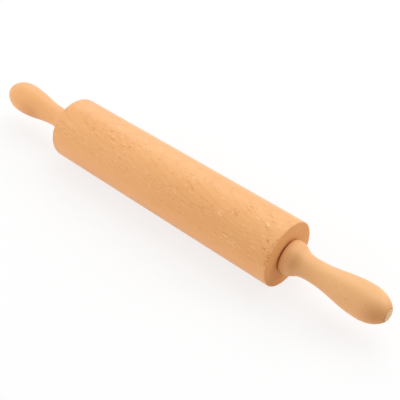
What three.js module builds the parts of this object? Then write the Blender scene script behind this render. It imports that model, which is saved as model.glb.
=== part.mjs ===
// Rolling pin: a turned beech barrel that spins on a steel axle between a pair of fixed, turned handles.
// Millimetres, +Z up, +X along the axle, origin at the middle of the barrel.
import * as THREE from 'three';

// Barrel
const barrelLength = 258;
const barrelDiameter = 60;
const barrelEdgeRadius = 1.2;
const barrelBoreRelief = 1; // the bore stands this far clear of the axle, between the bushes
const endRecessDepth = 2; // shallow recess in each end face, behind the handle's collar
const endRecessRim = 0.9; // recess beyond the bush's flange, all round

// Axle: a rod with a running surface inside the barrel and a thinner threaded end in each handle
const axleEndDiameter = 4;
const axleShoulder = 2; // step from the threaded end up to the running surface
const axlePastNut = 1.6; // thread that shows beyond the nut
const axleEndChamfer = 0.6;

// Clearance between pieces that turn, seat or slide on each other
const clearance = 0.3;

// Flanged bearing bush in each end of the barrel, flange flush with the recess's floor
const bushLength = 18;
const bushWall = 2.7;
const bushFlangeRim = 3;
const bushFlangeThickness = 2;

// Thrust washer between the axle's shoulder and each handle, which keeps the collar off the barrel
const thrustWasherRim = 5;
const collarGap = 1.3; // open gap between the barrel's end face and the collar

// Handle, from the collar outwards: bead, cove down to the neck, swell up to the belly, domed end
const collarDiameter = 30.8;
const collarRise = 1; // how far the bead stands above the edge of the collar's face
const beadLength = 2;
const coveLength = 22.8;
const neckDiameter = 20;
const swellLength = 48.5;
const bellyDiameter = 30.4;
const domeLength = 20.2;
const tipWall = 0.3; // wood left round the counterbore's mouth at the very tip
const mouthChamfer = 0.5; // groove that shows round the plug

// How far each curve of the handle runs on level before it turns
const coveLeaveCollar = 11;
const coveMeetNeck = 16;
const swellLeaveNeck = 20;
const swellMeetBelly = 20;

// Nut and washer that clamp each handle, in a counterbore in its tip
const nutWall = 1.5;
const nutHeight = 3.2;
const clampWasherRim = 2.1;
const clampWasherThickness = 0.8;
const spannerRoom = 1.7; // room round the nut's corners for a tube spanner

// Wooden plug that closes the counterbore
const plugLength = 8;
const plugProud = 1;
const plugChamfer = 0.5;

// Facets round each kind of turned piece, and steps along each curve
const barrelFacets = 60;
const handleFacets = 36;
const smallFacets = 24;
const edgeSteps = 4;
const beadSteps = 4;
const coveSteps = 9;
const swellSteps = 8;
const domeSteps = 8;

// Sizes that follow from the ones above
const barrelHalf = barrelLength / 2;
const barrelRadius = barrelDiameter / 2;
const axleEndRadius = axleEndDiameter / 2;
const axleRadius = axleEndRadius + axleShoulder;
const endBoreRadius = axleEndRadius + clearance;
const bushBoreRadius = axleRadius + clearance;
const bushRadius = bushBoreRadius + bushWall;
const bushFlangeRadius = bushRadius + bushFlangeRim;
const recessRadius = bushFlangeRadius + clearance + endRecessRim;
const bushFace = barrelHalf - endRecessDepth;
const collarFace = barrelHalf + collarGap;
const thrustWasherThickness = collarFace - bushFace - 2 * clearance;
const handleLength = beadLength + coveLength + swellLength + domeLength;
const nutFlatRadius = axleEndRadius + nutWall;
const nutCornerRadius = nutFlatRadius / Math.cos(Math.PI / 6);
const counterboreRadius = nutCornerRadius + spannerRoom;
const plugRadius = counterboreRadius - clearance;
const tipRadius = counterboreRadius + mouthChamfer + tipWall;

// Places along the handle, measured from its collar face
const nutStack = clearance + clampWasherThickness + clearance + nutHeight + axlePastNut;
const plugSeat = handleLength + plugProud - plugLength;
const axleEndPlace = plugSeat - clearance;
const counterboreFloor = axleEndPlace - nutStack;
const clampWasherPlace = counterboreFloor + clearance;
const nutPlace = clampWasherPlace + clampWasherThickness + clearance;

const finishes = {
  beech: { color: 0xe9b27c, roughness: 0.55, metalness: 0 },
  plugWood: { color: 0xe4c09a, roughness: 0.65, metalness: 0 },
  phenolic: { color: 0x4a2d1a, roughness: 0.5, metalness: 0 },
  steel: { color: 0xb4b6b8, roughness: 0.35, metalness: 1 },
};

function piece(name, geometry, finish, place = 0) {
  const mesh = new THREE.Mesh(geometry, new THREE.MeshStandardMaterial(finish));
  mesh.name = name;
  mesh.position.x = place;
  return mesh;
}

// A piece turned about X from [place along X, radius] points. Radii are measured to the flats of the
// facets, and one flat faces straight down.
function turned(profile, facets) {
  const cornerFactor = 1 / Math.cos(Math.PI / facets);
  const points = profile.map(([along, radius]) => new THREE.Vector2(radius * cornerFactor, along));
  const geometry = new THREE.LatheGeometry(points, facets, Math.PI / facets);
  geometry.rotateZ(-Math.PI / 2);
  return geometry;
}

// The mirror image of a half profile, in reverse order, for pieces that are alike at both ends.
function mirrored(half) {
  return half.map(([along, radius]) => [-along, radius]).reverse();
}

function closed(profile) {
  return [...profile, profile[0]];
}

function ring(innerRadius, outerRadius, thickness) {
  return closed([[0, innerRadius], [0, outerRadius], [thickness, outerRadius], [thickness, innerRadius]]);
}

function curvePoints(curve, steps) {
  return curve.getPoints(steps).map((point) => [point.x, point.y]);
}

// A curve that leaves one radius level and meets the next one level.
function levelCurve(start, end, leave, meet, steps) {
  const curve = new THREE.CubicBezierCurve(
    new THREE.Vector2(start[0], start[1]),
    new THREE.Vector2(start[0] + leave, start[1]),
    new THREE.Vector2(end[0] - meet, end[1]),
    new THREE.Vector2(end[0], end[1]),
  );
  return curvePoints(curve, steps);
}

function barrel() {
  const edgeRound = new THREE.EllipseCurve(
    barrelHalf - barrelEdgeRadius, barrelRadius - barrelEdgeRadius,
    barrelEdgeRadius, barrelEdgeRadius,
    Math.PI / 2, 0, true,
  );
  const flangeSeat = bushFace - bushFlangeThickness - clearance;
  const bushSeat = bushFace - bushLength - clearance;
  const half = [
    ...curvePoints(edgeRound, edgeSteps),
    [barrelHalf, recessRadius],
    [bushFace, recessRadius],
    [bushFace, bushFlangeRadius + clearance],
    [flangeSeat, bushFlangeRadius + clearance],
    [flangeSeat, bushRadius + clearance],
    [bushSeat, bushRadius + clearance],
    [bushSeat, axleRadius + barrelBoreRelief],
  ];
  return turned(closed([...half, ...mirrored(half)]), barrelFacets);
}

function axle() {
  const end = collarFace + axleEndPlace;
  const half = [
    [bushFace, axleRadius],
    [bushFace, axleEndRadius],
    [end - axleEndChamfer, axleEndRadius],
    [end, axleEndRadius - axleEndChamfer],
    [end, 0],
  ];
  return turned([...mirrored(half), ...half], smallFacets);
}

// Flange face at 0, body running inwards.
function bearingBush() {
  const profile = [
    [0, bushBoreRadius],
    [-bushLength, bushBoreRadius],
    [-bushLength, bushRadius],
    [-bushFlangeThickness, bushRadius],
    [-bushFlangeThickness, bushFlangeRadius],
    [0, bushFlangeRadius],
  ];
  return turned(closed(profile), smallFacets);
}

function handle() {
  const collarRadius = collarDiameter / 2;
  const neckRadius = neckDiameter / 2;
  const bellyRadius = bellyDiameter / 2;
  const neckPlace = beadLength + coveLength;
  const bellyPlace = neckPlace + swellLength;
  const bead = new THREE.EllipseCurve(
    beadLength, collarRadius - collarRise, beadLength, collarRise, Math.PI, Math.PI / 2, true,
  );
  // The dome is part of an ellipse that the flat tip cuts off.
  const domeReach = domeLength / Math.sqrt(1 - (tipRadius / bellyRadius) ** 2);
  const domeEnd = Math.asin(tipRadius / bellyRadius);
  const dome = new THREE.EllipseCurve(bellyPlace, 0, domeReach, bellyRadius, Math.PI / 2, domeEnd, true);
  const coveStart = [beadLength, collarRadius];
  const neck = [neckPlace, neckRadius];
  const belly = [bellyPlace, bellyRadius];
  const profile = [
    [0, endBoreRadius],
    ...curvePoints(bead, beadSteps),
    ...levelCurve(coveStart, neck, coveLeaveCollar, coveMeetNeck, coveSteps).slice(1),
    ...levelCurve(neck, belly, swellLeaveNeck, swellMeetBelly, swellSteps).slice(1),
    ...curvePoints(dome, domeSteps).slice(1),
    [handleLength, counterboreRadius + mouthChamfer],
    [handleLength - mouthChamfer, counterboreRadius],
    [counterboreFloor, counterboreRadius],
    [counterboreFloor, endBoreRadius],
  ];
  return turned(closed(profile), handleFacets);
}

function axleNut() {
  const hexagon = new THREE.Shape();
  for (let corner = 0; corner < 6; corner += 1) {
    const angle = corner * Math.PI / 3;
    const x = nutCornerRadius * Math.cos(angle);
    const y = nutCornerRadius * Math.sin(angle);
    if (corner === 0) hexagon.moveTo(x, y);
    else hexagon.lineTo(x, y);
  }
  hexagon.closePath();
  const hole = new THREE.Path();
  hole.absarc(0, 0, endBoreRadius, 0, 2 * Math.PI, true);
  hexagon.holes.push(hole);
  const geometry = new THREE.ExtrudeGeometry(hexagon, {
    depth: nutHeight, bevelEnabled: false, curveSegments: smallFacets / 2,
  });
  geometry.rotateY(Math.PI / 2);
  return geometry;
}

function endPlug() {
  const profile = [
    [0, 0],
    [0, plugRadius],
    [plugLength - plugChamfer, plugRadius],
    [plugLength, plugRadius - plugChamfer],
    [plugLength, 0],
  ];
  return turned(profile, smallFacets);
}

// Everything at one end of the pin, laid out towards +X and turned about Z for the left end.
function endSet(side, turn) {
  const thrustProfile = ring(endBoreRadius, axleRadius + thrustWasherRim, thrustWasherThickness);
  const clampProfile = ring(endBoreRadius, endBoreRadius + clampWasherRim, clampWasherThickness);
  const thrustWasher = turned(thrustProfile, smallFacets);
  const clampWasher = turned(clampProfile, smallFacets);
  const set = new THREE.Group();
  set.rotation.z = turn;
  set.add(
    piece(`${side}_bearing_bush`, bearingBush(), finishes.phenolic, bushFace),
    piece(`${side}_thrust_washer`, thrustWasher, finishes.phenolic, bushFace + clearance),
    piece(`${side}_handle`, handle(), finishes.beech, collarFace),
    piece(`${side}_clamp_washer`, clampWasher, finishes.steel, collarFace + clampWasherPlace),
    piece(`${side}_axle_nut`, axleNut(), finishes.steel, collarFace + nutPlace),
    piece(`${side}_end_plug`, endPlug(), finishes.plugWood, collarFace + plugSeat),
  );
  return set;
}

const rollingPin = new THREE.Group();
rollingPin.add(
  piece('barrel', barrel(), finishes.beech),
  piece('axle', axle(), finishes.steel),
  endSet('right', 0),
  endSet('left', Math.PI),
);

export default rollingPin;
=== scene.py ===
import math
import random

import bpy
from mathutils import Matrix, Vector, noise


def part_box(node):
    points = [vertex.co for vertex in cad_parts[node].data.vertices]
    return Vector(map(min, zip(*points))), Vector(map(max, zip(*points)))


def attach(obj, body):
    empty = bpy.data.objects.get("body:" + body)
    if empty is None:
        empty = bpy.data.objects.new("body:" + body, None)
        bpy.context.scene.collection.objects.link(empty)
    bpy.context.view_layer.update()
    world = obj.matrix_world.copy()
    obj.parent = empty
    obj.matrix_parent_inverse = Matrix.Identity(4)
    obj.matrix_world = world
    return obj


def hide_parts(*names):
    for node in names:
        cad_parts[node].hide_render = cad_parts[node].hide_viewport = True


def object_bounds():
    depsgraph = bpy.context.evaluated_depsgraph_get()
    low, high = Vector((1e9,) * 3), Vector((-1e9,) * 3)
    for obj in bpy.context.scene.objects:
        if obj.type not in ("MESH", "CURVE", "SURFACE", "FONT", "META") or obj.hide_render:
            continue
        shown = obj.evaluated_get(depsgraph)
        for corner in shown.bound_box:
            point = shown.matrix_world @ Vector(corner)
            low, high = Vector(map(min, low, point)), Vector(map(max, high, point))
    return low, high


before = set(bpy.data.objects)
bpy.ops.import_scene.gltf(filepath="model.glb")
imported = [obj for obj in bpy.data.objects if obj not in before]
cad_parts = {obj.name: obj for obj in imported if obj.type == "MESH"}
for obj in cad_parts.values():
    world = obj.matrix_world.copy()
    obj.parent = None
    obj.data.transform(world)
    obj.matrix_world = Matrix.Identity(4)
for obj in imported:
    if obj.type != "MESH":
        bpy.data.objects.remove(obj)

mm = 0.001
white = (1, 1, 1, 1)
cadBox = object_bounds()
print("rolling pin: frame loaded,", len(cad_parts), "solids")


class Wire:      # one socket of a finish, so that sums on it read as plain Python
    def __init__(self, finish, socket):
        self.finish = finish
        self.socket = socket

    def sum(self, operation, first, second=0.0):
        return self.finish.node("ShaderNodeMath", {"operation": operation}, {0: first, 1: second})

    def __add__(self, other):
        return self.sum("ADD", self, other)

    def __radd__(self, other):
        return self.sum("ADD", other, self)

    def __sub__(self, other):
        return self.sum("SUBTRACT", self, other)

    def __rsub__(self, other):
        return self.sum("SUBTRACT", other, self)

    def __mul__(self, other):
        return self.sum("MULTIPLY", self, other)

    def __rmul__(self, other):
        return self.sum("MULTIPLY", other, self)

    def __truediv__(self, other):
        return self.sum("DIVIDE", self, other)

    def __mod__(self, other):
        return self.sum("MODULO", self, other)

    def __pow__(self, other):
        return self.sum("POWER", self, other)

    def __abs__(self):
        return self.sum("ABSOLUTE", self)

    def out(self, name):      # another output of the same node
        return Wire(self.finish, self.socket.node.outputs[name])


class Finish:      # one node material, lamp or world, built node by node
    def __init__(self, owner):
        owner.use_nodes = True
        self.owner = owner
        self.tree = owner.node_tree

    def feed(self, socket, value):
        if isinstance(value, Wire):
            self.tree.links.new(value.socket, socket)
        else:
            socket.default_value = value

    def node(self, kind, settings=None, inputs=None, output=0):
        made = self.tree.nodes.new(kind)
        for key, value in (settings or {}).items():
            setattr(made, key, value)
        for key, value in (inputs or {}).items():
            self.feed(made.inputs[key], value)
        return Wire(self, made.outputs[output])

    def vector(self, operation, first, second=(0, 0, 0), output=0):
        return self.node("ShaderNodeVectorMath", {"operation": operation}, {0: first, 1: second}, output)

    def blend(self, factor, first, second):      # colours
        return self.node("ShaderNodeMix", {"data_type": "RGBA"}, {0: factor, 6: first, 7: second}, 2)

    def soft(self, value, low, high):      # 0 below low, 1 above high, eased between
        settings = {"interpolation_type": "SMOOTHSTEP"}
        return self.node("ShaderNodeMapRange", settings, {0: value, 1: low, 2: high, 3: 0.0, 4: 1.0})

    def grain(self, place, stretch, detail=2.0, rough=0.5):      # noise, stretched per axis
        stretched = self.vector("MULTIPLY", place, stretch)
        inputs = {"Vector": stretched, "Scale": 1.0, "Detail": detail, "Roughness": rough}
        return self.node("ShaderNodeTexNoise", None, inputs)

    def wander(self, place, stretch, detail, reach):      # a shift across the grain, from noise
        shift = self.grain(place, stretch, detail).out("Color")
        shift = self.vector("SUBTRACT", shift, (0.5, 0.5, 0.5))
        return self.vector("MULTIPLY", shift, (0, reach, reach))

    def parts(self, value):      # the three numbers of a vector or colour
        split = self.node("ShaderNodeSeparateXYZ", None, {0: value})
        return [split.out(axis) for axis in "XYZ"]

    def reach(self, value):      # the length of a vector
        return self.vector("LENGTH", value, output="Value")

    def place(self):      # where a point lies on its piece, in millimetres
        return self.vector("MULTIPLY", self.node("ShaderNodeTexCoord", output="Object"), (1000, 1000, 1000))

    def seen(self):      # 1 on rays that come from the camera, straight or by way of a reflection
        path = self.node("ShaderNodeLightPath", output="Is Camera Ray")
        rays = path + path.out("Is Glossy Ray") + path.out("Is Transmission Ray")
        return self.node("ShaderNodeClamp", None, {0: rays})

    def bump(self, height, strength, depth):
        return self.node("ShaderNodeBump", None, {"Strength": strength, "Distance": depth, "Height": height})

    def shade(self, **inputs):
        shader = self.tree.nodes["Principled BSDF"]
        for key, value in inputs.items():
            self.feed(shader.inputs[key.replace("_", " ")], value)


def linear(red, green, blue):      # a colour as picked on screen, 0 to 255, for a shader socket
    def channel(value):
        value = value / 255
        return value / 12.92 if value <= 0.04045 else ((value + 0.055) / 1.055) ** 2.4
    return channel(red), channel(green), channel(blue), 1.0


def between(ends, mask):      # the first of a pair where the mask is 0, the second where it is 1
    return ends[0] + (ends[1] - ends[0]) * mask


# Beech: growth rings round a pith outside the piece, ray flecks and fibres along the grain, in millimetres
beech = {
    "late": linear(206, 136, 76),      # the line that ends each ring
    "endTone": linear(210, 148, 84),
    "ringWidth": 2.6,
    "ringSharpness": 7.0,
    "swing": 7.0,      # how far the whole grain sways
    "bend": 3.2,      # how far single flecks bend
    "streaked": (0.35, 0.7),      # patches, from plain to streaked
    "roughness": {"base": 0.36, "fibre": 0.12, "endGrain": 0.25},
    "gloss": 0.6,
    "bump": 0.15,
    "bumpDepth": 0.3 * mm,
}
grains = {      # how fast each noise changes along and across the grain, its detail and its roughness
    "sway": ((0.006, 0.02, 0.02), 1.5),
    "bend": ((0.12, 0.3, 0.3), 1.0),
    "fibre": ((0.035, 2.0, 2.0), 3.0, 0.6),
    "cloud": ((0.009, 0.05, 0.05), 2.0),
    "patch": ((0.012, 0.07, 0.07), 1.0),
    "cluster": ((0.025, 0.1, 0.1), 1.0),
    "streak": ((0.06, 0.9, 0.9), 2.0),
    "tick": ((0.2, 0.75, 0.75), 0.0),
    "pores": ((0.2, 3.2, 3.2), 2.0, 0.7),
}
fleck = {
    "dark": linear(198, 112, 20),
    "pale": linear(255, 210, 162),
    "size": (9.5, 1.1, 1.1),
    "speckSize": (6.5, 0.9, 0.9),      # a second, finer set that slants the other way
    "speckShare": 0.8,
    "core": (0.15, 0.5),      # from the full middle of a fleck to its edge, as shares of its size
    "chosen": (0.95, 1.05),
    "isDark": (0.48, 0.52),
    "depth": (0.3, 1.0),
    "flat": (0.5, 1.0),      # how flat a side lies to the rays, from the fewest flecks to the most
    "cluster": (0.4, 0.62),
    "amountByCluster": (0.15, 0.85),
    "amountByFlat": (0.4, 1.0),
    "strengthByFlat": (0.45, 1.0),
    "bolder": (50.0, 90.0),      # along the barrel, where they grow bolder
    "strengthByPlace": (0.75, 1.05),
}
wear = {      # torn fibres on one side of the barrel's right rim
    "place": (124.5, 128.0),
    "side": (0.88, 0.98),
    "torn": (0.5, 0.58),
    "chips": (0.48, 0.42),
}
tints = {      # how strongly each mark colours the wood
    "cloud": 0.9,
    "late": 0.2,
    # painted shade: how dark the shade patches are
    "paintedShade": 0.6,
    "pale": 0.9,
    "dark": 0.72,
    "chips": 0.5,
    "torn": 0.7,
    "endGrain": (0.35, 0.75),
}
heights = {"fibre": 0.3, "pores": 0.15, "pale": 0.15, "dark": -0.1, "late": -0.15, "torn": -1.0}
cuts = {
    "barrel": {
        "pale": linear(246, 185, 122),
        "deep": linear(231, 163, 97),
        "board": (0, 0, 0),      # where in the plank the piece is cut
        "pith": (-6, -70),
        "lean": (0.13, 0.11),      # how far the grain slants off the axle
        "fibre": 0.25,
        "streaks": 1.1,
        "flecks": 0.85,
        "flecked": (-0.55, 0.84),      # the side that lies flat to the rays
        "worn": (-0.8, 0.6),      # the side where the rim is torn
        "endGrain": (0.55, 0.85),
        "marks": (),      # painted shade: dark patches where shade falls, each a middle and a size
    },
    "right": {
        "pale": linear(246, 191, 132),
        "deep": linear(229, 169, 108),
        "board": (340, 60, 25),
        "pith": (-60, -30),
        "lean": (0.05, 0.05),
        "fibre": 0.12,
        "streaks": 0.25,
        "flecks": 0.06,
        "flecked": (-0.64, 0.76),
        "worn": (0, 0),
        "endGrain": (0.3, 0.9),
        # painted shade on the cove beside the near collar and on the front of the near handle's tip
        "marks": (((219, -13, 3), 17.0), ((140.5, -7, 6.5), 10.0)),
    },
    "left": {
        "pale": linear(246, 185, 122),
        "deep": linear(231, 163, 97),
        "board": (-510, -35, 70),
        "pith": (-66, -10),
        "lean": (-0.04, 0.05),
        "fibre": 0.12,
        "streaks": 0.25,
        "flecks": 0.12,
        "flecked": (-0.64, 0.76),
        "worn": (0, 0),
        "endGrain": (0.3, 0.9),
        # painted shade on the lower front of the far handle's swell
        "marks": (((-185, -12, -8), 22.0),),
    },
}


def fleckSpots(wood, place, size, amount):      # spindles along the grain, a share of them dark or pale
    cells = wood.vector("DIVIDE", place, size)
    cell = wood.node("ShaderNodeTexVoronoi", None, {"Vector": cells, "Scale": 1.0})
    pick, tone, depth = wood.parts(cell.out("Color"))
    spot = (1 - wood.soft(cell, *fleck["core"])) * wood.soft(pick + amount, *fleck["chosen"])
    spot = spot * between(fleck["depth"], depth)
    isDark = wood.soft(tone, *fleck["isDark"])
    return spot * isDark, spot * (1 - isDark)


def beechFinish(name, cut):
    wood = Finish(bpy.data.materials.new(name))
    place = wood.place()
    board = wood.vector("ADD", place, cut["board"])
    swayed = wood.vector("ADD", place, wood.wander(board, *grains["sway"], beech["swing"]))
    bent = wood.vector("ADD", board, wood.wander(board, *grains["bend"], beech["bend"]))
    along = wood.parts(swayed)[0]
    slant = wood.node("ShaderNodeCombineXYZ", None, {1: along, 2: along})
    drift = wood.vector("MULTIPLY", slant, (0, *cut["lean"]))
    fibre = wood.grain(board, *grains["fibre"])
    cloud = wood.grain(board, *grains["cloud"])
    pores = wood.grain(board, *grains["pores"])

    # growth rings: each ends in a thin darker line of late wood
    fromPith = wood.vector("SUBTRACT", wood.vector("ADD", swayed, drift), (0, *cut["pith"]))
    pithReach = wood.reach(wood.vector("MULTIPLY", fromPith, (0, 1, 1)))
    late = (pithReach / beech["ringWidth"] % 1.0) ** beech["ringSharpness"]

    # ray flecks, most of them on the opposite sides where the cut lies flat to the rays
    facing, sideways, upward = wood.parts(wood.node("ShaderNodeTexCoord", output="Normal"))
    flat = wood.soft(abs(sideways * cut["flecked"][0] + upward * cut["flecked"][1]), *fleck["flat"])
    cluster = wood.soft(wood.grain(board, *grains["cluster"]), *fleck["cluster"])
    bolder = wood.soft(along, *fleck["bolder"])
    amount = between(fleck["amountByCluster"], cluster) * between(fleck["amountByFlat"], flat)
    amount = amount * cut["flecks"]
    strength = between(fleck["strengthByFlat"], flat) * between(fleck["strengthByPlace"], bolder)
    dark, pale = fleckSpots(wood, wood.vector("ADD", bent, drift), fleck["size"], amount)
    crossed = wood.vector("SUBTRACT", bent, drift)
    speckDark, speckPale = fleckSpots(wood, crossed, fleck["speckSize"], amount)
    dark = (dark + speckDark * fleck["speckShare"]) * strength
    pale = (pale + speckPale * fleck["speckShare"]) * strength

    # paler and deeper streaks, in patches
    patch = wood.soft(wood.grain(board, *grains["patch"]), *beech["streaked"])
    streak = (wood.grain(board, *grains["streak"]) - 0.5) * patch * cut["streaks"]

    # torn fibres at the worn side of the right rim
    worn = wood.soft(sideways * cut["worn"][0] + upward * cut["worn"][1], *wear["side"])
    worn = worn * wood.soft(along, *wear["place"])
    ticks = wood.grain(board, *grains["tick"])
    torn = worn * wood.soft(ticks, *wear["torn"])
    chips = worn * wood.soft(ticks, *wear["chips"])

    # end grain, wherever the surface turns to face along the axle
    endGrain = wood.soft(abs(facing), *cut["endGrain"])

    tone = cloud * tints["cloud"] + (fibre - 0.5) * cut["fibre"] + streak
    colour = wood.blend(tone, cut["pale"], cut["deep"])
    colour = wood.blend(late * tints["late"], colour, beech["late"])
    # painted shade: darker patches where shade falls on the handles
    for middle, size in cut["marks"]:
        fromShadePatch = wood.reach(wood.vector("SUBTRACT", place, middle))
        paintedShade = 1 - wood.soft(fromShadePatch, 0.0, size)
        colour = wood.blend(paintedShade * tints["paintedShade"], colour, beech["late"])
    colour = wood.blend(pale * tints["pale"], colour, fleck["pale"])
    colour = wood.blend(dark * tints["dark"], colour, fleck["dark"])
    colour = wood.blend(chips * tints["chips"], colour, fleck["pale"])
    colour = wood.blend(torn * tints["torn"], colour, fleck["dark"])
    colour = wood.blend(endGrain * between(tints["endGrain"], pores), colour, beech["endTone"])
    height = fibre * heights["fibre"] + pores * heights["pores"] + pale * heights["pale"]
    height = height + dark * heights["dark"] + late * heights["late"] + torn * heights["torn"]
    rough = beech["roughness"]
    roughness = rough["base"] + fibre * rough["fibre"] + endGrain * rough["endGrain"]
    bump = wood.bump(height, beech["bump"], beech["bumpDepth"])
    wood.shade(Base_Color=colour, Roughness=roughness, Specular_IOR_Level=beech["gloss"], Normal=bump)
    return wood.owner


plugWood = {
    "pale": linear(236, 201, 159),
    "deep": linear(210, 168, 122),
    "pores": ((0.3, 3.0, 3.0), 3.0, 0.7),
    "sawn": ((0.3, 0.5, 4.0), 2.0),
    "sawnShare": 0.3,      # of the colour
    "sawnHeight": 0.6,
    "roughness": (0.6, 0.75),
    "bump": 0.35,
    "bumpDepth": 0.2 * mm,
}


def plugFinish(name):      # a paler dowel, seen on its sawn end
    wood = Finish(bpy.data.materials.new(name))
    place = wood.place()
    pores = wood.grain(place, *plugWood["pores"])
    sawn = wood.grain(place, *plugWood["sawn"])
    tone = between((pores, sawn), plugWood["sawnShare"])
    colour = wood.blend(tone, plugWood["pale"], plugWood["deep"])
    bump = wood.bump(pores + sawn * plugWood["sawnHeight"], plugWood["bump"], plugWood["bumpDepth"])
    wood.shade(Base_Color=colour, Roughness=between(plugWood["roughness"], pores), Normal=bump)
    return wood.owner


metals = {
    "drawn_steel": {
        "pale": linear(205, 207, 209),
        "deep": linear(168, 170, 173),
        "streaks": ((0.05, 4.0, 4.0), 3.0),
        "roughness": (0.28, 0.4),
    },
    "zinc": {
        "pale": linear(210, 212, 208),
        "deep": linear(178, 182, 184),
        "streaks": ((0.9, 0.9, 0.9), 3.0),
        "roughness": (0.36, 0.48),
    },
}
metalBump = {"strength": 0.15, "depth": 0.05 * mm}


def metalFinish(name):
    look = metals[name]
    metal = Finish(bpy.data.materials.new(name))
    streak = metal.grain(metal.place(), *look["streaks"])
    colour = metal.blend(streak, look["pale"], look["deep"])
    bump = metal.bump(streak, **metalBump)
    metal.shade(Base_Color=colour, Metallic=1.0, Roughness=between(look["roughness"], streak), Normal=bump)
    return metal.owner


phenolic = {
    "pale": linear(98, 62, 38),
    "deep": linear(62, 36, 20),
    "layers": ((0.4, 0.4, 5.0), 2.0),
    "weave": ((3.0, 3.0, 3.0), 2.0),
    "weaveShare": 0.3,      # of the colour
    "roughness": (0.42, 0.57),
    "bump": 0.2,
    "bumpDepth": 0.05 * mm,
}


def phenolicFinish(name):      # brown laminate: thin layers of cloth, machined smooth
    laminate = Finish(bpy.data.materials.new(name))
    place = laminate.place()
    layers = laminate.grain(place, *phenolic["layers"])
    weave = laminate.grain(place, *phenolic["weave"])
    tone = between((layers, weave), phenolic["weaveShare"])
    colour = laminate.blend(tone, phenolic["pale"], phenolic["deep"])
    bump = laminate.bump(weave, phenolic["bump"], phenolic["bumpDepth"])
    laminate.shade(Base_Color=colour, Roughness=between(phenolic["roughness"], weave), Normal=bump)
    return laminate.owner


barrelFinish = beechFinish("beech_barrel", cuts["barrel"])
handleFinish = {side: beechFinish("beech_" + side + "_handle", cuts[side]) for side in ("right", "left")}
paleFinish = plugFinish("pale_dowel")
steelFinish = metalFinish("drawn_steel")
zincFinish = metalFinish("zinc")
bushFinish = phenolicFinish("brown_phenolic")
print("rolling pin: finishes made")

samePoint = 1e-7
onAxis = 1e-9
creaseAngle = 35      # degrees; sharper edges aren't shaded smooth


def arc(centre, radii, start, end, steps):      # points on an ellipse, angles in degrees
    points = []
    for step in range(steps + 1):
        angle = math.radians(start + (end - start) * step / steps)
        points.append((centre[0] + radii[0] * math.cos(angle), centre[1] + radii[1] * math.sin(angle)))
    return points


def levelCurve(start, end, leave, meet, steps):      # leaves one radius level and meets the next one level
    places = (start[0], start[0] + leave, end[0] - meet, end[0])
    radii = (start[1], start[1], end[1], end[1])
    points = []
    for step in range(steps + 1):
        t = step / steps
        weights = ((1 - t) ** 3, 3 * t * (1 - t) ** 2, 3 * t * t * (1 - t), t ** 3)
        place = sum(weight * value for weight, value in zip(weights, places))
        radius = sum(weight * value for weight, value in zip(weights, radii))
        points.append((place, radius))
    return points


def straight(start, end, steps):
    return [(start[0] + (end[0] - start[0]) * step / steps, start[1] + (end[1] - start[1]) * step / steps)
            for step in range(steps + 1)]


def joined(*runs):      # runs of points end to end, each shared point once
    points = []
    for run in runs:
        for point in run:
            if not points or math.dist(point, points[-1]) > samePoint:
                points.append(point)
    return points


def turnPiece(name, profile, turns, side=1, relief=None):
    # (place along X, radius) points turned about X; side -1 turns the piece round to the other end
    closed = math.dist(profile[0], profile[-1]) < onAxis
    rows, corners, faces = [], [], []
    for place, radius in profile[:-1] if closed else profile:
        count = turns if radius > onAxis else 1
        rows.append(range(len(corners), len(corners) + count))
        for step in range(count):
            angle = 2 * math.pi * step / turns
            depth = radius - relief(place, angle, radius) if relief else radius
            corners.append((side * place, side * depth * math.cos(angle), depth * math.sin(angle)))
    for low, high in zip(rows, rows[1:] + rows[:1] if closed else rows[1:]):
        for step in range(turns):
            after = (step + 1) % turns
            loop = [low[step % len(low)], low[after % len(low)]]
            loop += [high[after % len(high)], high[step % len(high)]]
            faces.append(list(dict.fromkeys(loop)))
    mesh = bpy.data.meshes.new(name)
    mesh.from_pydata(corners, [], faces)
    mesh.validate()
    if sum((face.center.dot(face.normal) - face.center.x * face.normal.x) for face in mesh.polygons) < 0:
        mesh.flip_normals()
    mesh.polygons.foreach_set("use_smooth", [True] * len(mesh.polygons))
    mesh.set_sharp_from_angle(angle=math.radians(creaseAngle))
    piece = bpy.data.objects.new(name, mesh)
    bpy.context.collection.objects.link(piece)
    return piece


def sanding(look, place, angle, seed=0.0):      # broad, shallow flats: how deep one lies at a point
    across = look["waveAcross"]
    spot = Vector((place * look["waveAlong"] + seed, math.cos(angle) * across, math.sin(angle) * across))
    return look["wave"] * (0.5 + 0.5 * noise.noise(spot))


def settle(piece, finish, body, slot, *nodes):
    piece.data.materials.append(finish)
    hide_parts(*nodes)
    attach(piece, body)


# Barrel: a plain cylinder with rounded edges, sanded, with a few knocks
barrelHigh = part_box("barrel")[1]
flangeLow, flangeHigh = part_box("right_bearing_bush")
barrel = {
    "edge": 1.2 * mm,
    "recess": 11.2 * mm,
    "flangeRoom": 0.3 * mm,
    "bushRadius": 7.0 * mm,
    "flangeThickness": 2.0 * mm,
    "boreRadius": 5.0 * mm,
    "turns": 540,
    "rings": 110,
    "rimRings": 16,
    "rim": 8.0 * mm,
    "edgeSteps": 8,
    "faceSteps": 4,
    "wave": 0.05 * mm,
    "waveAlong": 22,
    "waveAcross": 1.6,
}
dents = {
    "seed": 7,
    "count": 46,
    "spread": 0.95,      # share of the barrel's length that has them
    "length": (1.2 * mm, 4.0 * mm),
    "width": (0.5 * mm, 1.2 * mm),
    "depth": (0.06 * mm, 0.2 * mm),
}
nicks = {      # worn into the rims, most of them on one side of the right end
    "seed": 19,
    "count": 46,
    "rightShare": 0.7,
    "rightAngle": (142, 16),      # degrees, middle and spread
    "length": (1.0 * mm, 3.5 * mm),
    "width": (0.3 * mm, 0.55 * mm),
    "depth": (0.4 * mm, 0.9 * mm),
}
markReach = 2      # how far a dent or nick spreads, in its own lengths and widths


def mark(chance, look, place, angle):
    sizes = {key: chance.uniform(*look[key]) for key in ("length", "width", "depth")}
    return {"place": place, "angle": angle, **sizes}


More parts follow.
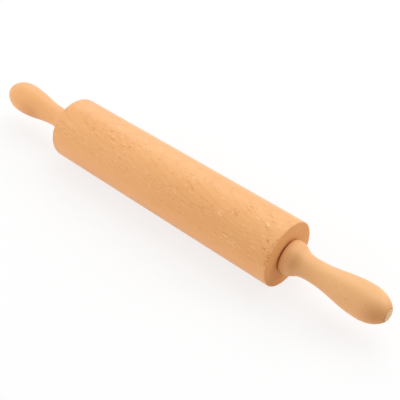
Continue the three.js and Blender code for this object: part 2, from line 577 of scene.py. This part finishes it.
def barrelDents():
    chance = random.Random(dents["seed"])
    made = []
    for count in range(dents["count"]):
        place = chance.uniform(-dents["spread"], dents["spread"]) * barrelHigh.x
        angle = chance.uniform(0, 2 * math.pi)
        made.append(mark(chance, dents, place, angle))
    return made


def rimNicks():
    chance = random.Random(nicks["seed"])
    made = []
    for count in range(nicks["count"]):
        right = chance.random() < nicks["rightShare"]
        place = barrelHigh.x if right else -barrelHigh.x
        angle = chance.gauss(*nicks["rightAngle"]) if right else chance.uniform(0, 360)
        made.append(mark(chance, nicks, place, math.radians(angle)))
    return made


def angleGap(first, second):
    return (first - second + math.pi) % (2 * math.pi) - math.pi


def barrelRelief():
    marks = barrelDents() + rimNicks()
    radius = barrelHigh.z
    near = {}      # the marks close to each ring of corners

    def relief(place, angle, depth):
        if depth < radius - 2 * barrel["edge"]:
            return 0
        if place not in near:
            near[place] = [one for one in marks if abs(place - one["place"]) < markReach * one["length"]]
        sink = sanding(barrel, place, angle)
        for one in near[place]:
            along = (place - one["place"]) / one["length"]
            aside = angleGap(angle, one["angle"]) * radius / one["width"]
            if abs(aside) < markReach:
                sink += one["depth"] * math.exp(-along ** 2 - aside ** 2)
        return sink
    return relief


def makeBarrel():
    half = barrelHigh.x
    radius = barrelHigh.z
    edge = barrel["edge"]
    flangeSeat = flangeHigh.z + barrel["flangeRoom"]
    bushSeat = barrel["bushRadius"] + barrel["flangeRoom"]
    flangeFloor = flangeHigh.x - barrel["flangeThickness"] - barrel["flangeRoom"]
    bushFloor = flangeLow.x - barrel["flangeRoom"]
    end = joined(
        arc((half - edge, radius - edge), (edge, edge), 90, 0, barrel["edgeSteps"]),
        straight((half, radius - edge), (half, barrel["recess"]), barrel["faceSteps"]),
        [(flangeHigh.x, barrel["recess"]), (flangeHigh.x, flangeSeat), (flangeFloor, flangeSeat)],
        [(flangeFloor, bushSeat), (bushFloor, bushSeat), (bushFloor, barrel["boreRadius"])])
    farEnd = [(-place, depth) for place, depth in reversed(end)]
    rimStart = half - barrel["rim"]
    side = joined(
        straight((edge - half, radius), (-rimStart, radius), barrel["rimRings"]),
        straight((-rimStart, radius), (rimStart, radius), barrel["rings"]),
        straight((rimStart, radius), (half - edge, radius), barrel["rimRings"]))
    profile = joined(side, end, farEnd)
    piece = turnPiece("barrel_turned", profile, barrel["turns"], relief=barrelRelief())
    settle(piece, barrelFinish, "roller", "beech", "barrel")


# Handle: bead, cove, neck, swell, belly, dome and a flat tip with a counterbore
handle = {
    "collar": 15.4 * mm,
    "collarRise": 1.0 * mm,
    "bead": 2.0 * mm,
    "cove": 22.8 * mm,
    "neck": 10 * mm,
    "swell": 48.5 * mm,
    "belly": 15.2 * mm,
    "tip": 6.54 * mm,
    "tipRound": 0.3 * mm,      # how far from the end the dome's edge starts to round over
    "tipEdge": ((0.09 * mm, 0.1 * mm), (0, -0.2 * mm)),      # back from the end, out from the tip's radius
    "mouth": 0.5 * mm,
    "coveLeave": 11 * mm,
    "coveMeet": 16 * mm,
    "swellLeave": 20 * mm,
    "swellMeet": 20 * mm,
    "bore": 2.3 * mm,
    "boreRim": 1 * mm,
    "plugRoom": 0.3 * mm,
    "counterbore": 13.5 * mm,
    "turns": 160,
    "faceSteps": 6,
    "beadSteps": 12,
    "coveSteps": 24,
    "swellSteps": 36,
    "domeSteps": 26,
    "wave": 0.12 * mm,
    "waveAlong": 70,
    "waveAcross": 1.3,
    "waveSeed": 3.7,
}
plug = {
    "chamfer": 0.5 * mm,
    "crown": 0.12 * mm,
    "turns": 96,
    "sideSteps": 4,
    "edgeSteps": 6,
    "crownSteps": 8,
}
plugLow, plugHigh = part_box("right_end_plug")
handleLow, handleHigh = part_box("right_handle")


def handleRelief(seed):
    def relief(place, angle, depth):
        return sanding(handle, place, angle, seed) if depth >= handle["tip"] else 0
    return relief


def makeHandle(side, sign):
    face = handleLow.x
    tip = handleHigh.x
    collarEdge = handle["collar"] - handle["collarRise"]
    beadPlace = face + handle["bead"]
    neckPlace = beadPlace + handle["cove"]
    bellyPlace = neckPlace + handle["swell"]
    bead = (beadPlace, handle["collar"])
    neck = (neckPlace, handle["neck"])
    belly = (bellyPlace, handle["belly"])
    counterbore = plugHigh.z + handle["plugRoom"]
    floor = tip - handle["counterbore"]
    stretch = (tip - bellyPlace) / math.sqrt(1 - (handle["tip"] / handle["belly"]) ** 2)
    tipAngle = math.degrees(math.asin(handle["tip"] / handle["belly"]))
    dome = arc((bellyPlace, 0), (stretch, handle["belly"]), 90, tipAngle, handle["domeSteps"])
    profile = joined(
        [(face, handle["bore"])],
        straight((face, handle["bore"] + handle["boreRim"]), (face, collarEdge), handle["faceSteps"]),
        arc((beadPlace, collarEdge), (handle["bead"], handle["collarRise"]), 180, 90, handle["beadSteps"]),
        levelCurve(bead, neck, handle["coveLeave"], handle["coveMeet"], handle["coveSteps"]),
        levelCurve(neck, belly, handle["swellLeave"], handle["swellMeet"], handle["swellSteps"]),
        [point for point in dome if point[0] < tip - handle["tipRound"]],
        [(tip - back, handle["tip"] + out) for back, out in handle["tipEdge"]],
        [(tip, counterbore + handle["mouth"]), (tip - handle["mouth"], counterbore)],
        [(floor, counterbore), (floor, handle["bore"]), (face, handle["bore"])])
    relief = handleRelief(handle["waveSeed"] * sign)
    piece = turnPiece(side + "_handle_turned", profile, handle["turns"], sign, relief)
    settle(piece, handleFinish[side], "handle_set", "beech", side + "_handle")


def makePlug(side, sign):
    radius = plugHigh.z
    chamfer = plug["chamfer"]
    edge = plugHigh.x - plug["crown"]
    profile = joined(
        [(plugLow.x, 0), (plugLow.x, radius)],
        straight((plugLow.x, radius), (edge - chamfer, radius), plug["sideSteps"]),
        arc((edge - chamfer, radius - chamfer), (chamfer, chamfer), 90, 0, plug["edgeSteps"]),
        arc((edge, 0), (plug["crown"], radius - chamfer), 90, 0, plug["crownSteps"])[:-1],
        [(plugHigh.x, 0)])
    piece = turnPiece(side + "_plug_turned", profile, plug["turns"], sign)
    settle(piece, paleFinish, "handle_set", "plug_wood", side + "_end_plug")


# Hardware: the CAD solids themselves, each with its finish
hardware = {
    "thrust_washer": bushFinish,
    "clamp_washer": zincFinish,
    "axle_nut": zincFinish,
    "bearing_bush": bushFinish,
}


def dress(node, finish):
    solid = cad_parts[node]
    solid.data.materials.clear()
    solid.data.materials.append(finish)


makeBarrel()
for side, sign in (("right", 1), ("left", -1)):
    makeHandle(side, sign)
    makePlug(side, sign)
    for part, finish in hardware.items():
        dress(side + "_" + part, finish)
dress("axle", steelFinish)
print("rolling pin: wood turned, hardware dressed")

# Stage: a pale floor under the barrel, four soft lamps and an even white surround
stage = {
    "floorSize": 8.0,
    "floorShown": (0.95, 0.95, 0.95, 1.0),
    "floorLit": (0.92, 0.8, 0.68, 1.0),      # what the pin's underside sees of it
    "floorRoughness": 0.9,
    "floorGlow": 0.76,
    "surround": 0.48,
}
lamps = {
    "back_lamp": {"place": (0.0, 0.62, 1.3), "size": 1.2, "power": 8.9, "glare": False},
    "sheen_lamp": {"place": (-1.0, 0.9, 0.9), "size": 0.9, "power": 3.0, "glare": True},
    "front_lamp": {"place": (-0.9, -0.9, 0.45), "size": 1.0, "power": 6.7, "glare": False},
    "right_lamp": {"place": (0.9, 0.8, 0.6), "size": 0.6, "power": 4.7, "glare": True},
}


def makeFloor():
    half = stage["floorSize"] / 2
    corners = [(-half, -half, 0), (half, -half, 0), (half, half, 0), (-half, half, 0)]
    mesh = bpy.data.meshes.new("floor")
    mesh.from_pydata(corners, [], [(0, 1, 2, 3)])
    floor = bpy.data.objects.new("floor", mesh)
    floor.location.z = cadBox[0].z
    bpy.context.collection.objects.link(floor)
    paint = Finish(bpy.data.materials.new("pale_floor"))
    seen = paint.seen()
    tone = paint.blend(seen, stage["floorLit"], stage["floorShown"])
    paint.shade(Base_Color=tone, Roughness=stage["floorRoughness"], Specular_IOR_Level=0.0)
    glow = paint.node("ShaderNodeEmission", None, {"Color": white, "Strength": 1.0})
    lit = Wire(paint, paint.tree.nodes["Principled BSDF"].outputs[0])
    shown = paint.node("ShaderNodeMixShader", None, {0: seen * stage["floorGlow"], 1: lit, 2: glow})
    paint.feed(paint.tree.nodes["Material Output"].inputs["Surface"], shown)
    floor.data.materials.append(paint.owner)


def makeLight():
    for name, setting in lamps.items():
        lamp = bpy.data.lights.new(name, "AREA")
        lamp.size = setting["size"]
        lamp.energy = setting["power"]
        holder = bpy.data.objects.new(name, lamp)
        holder.location = setting["place"]
        holder.rotation_euler = (-Vector(setting["place"])).to_track_quat("-Z", "Y").to_euler()
        holder.visible_glossy = setting["glare"]      # a fill lamp leaves no highlight
        bpy.context.collection.objects.link(holder)
    world = bpy.data.worlds.new("surround")
    bpy.context.scene.world = world
    sky = Finish(world)
    background = sky.tree.nodes["Background"].inputs
    sky.feed(background["Color"], white)
    sky.feed(background["Strength"], between((stage["surround"], 1), sky.seen()))


# Camera: fitted to the photograph's outline of the pin
camera = {
    "azimuth": 42.22,
    "elevation": 41.32,
    "distance": 714.6 * mm,
    "aim": (31.05 * mm, 1.98 * mm, 0),
    "sensor": 36.0,
    "focalPixels": 819.4,
    "framePixels": 400,
}


def makeCamera():
    view = bpy.data.cameras.new("camera")
    view.sensor_width = camera["sensor"]
    view.lens = camera["sensor"] * camera["focalPixels"] / camera["framePixels"]
    turn, lift = math.radians(camera["azimuth"]), math.radians(camera["elevation"])
    back = Vector((math.sin(turn) * math.cos(lift), -math.cos(turn) * math.cos(lift), math.sin(lift)))
    eye = bpy.data.objects.new("camera", view)
    eye.location = Vector(camera["aim"]) + back * camera["distance"]
    eye.rotation_euler = (-back).to_track_quat("-Z", "Y").to_euler()
    bpy.context.collection.objects.link(eye)
    bpy.context.scene.camera = eye


makeFloor()
makeLight()
makeCamera()
bpy.context.scene.view_settings.view_transform = "Standard"
print("rolling pin: stage set")
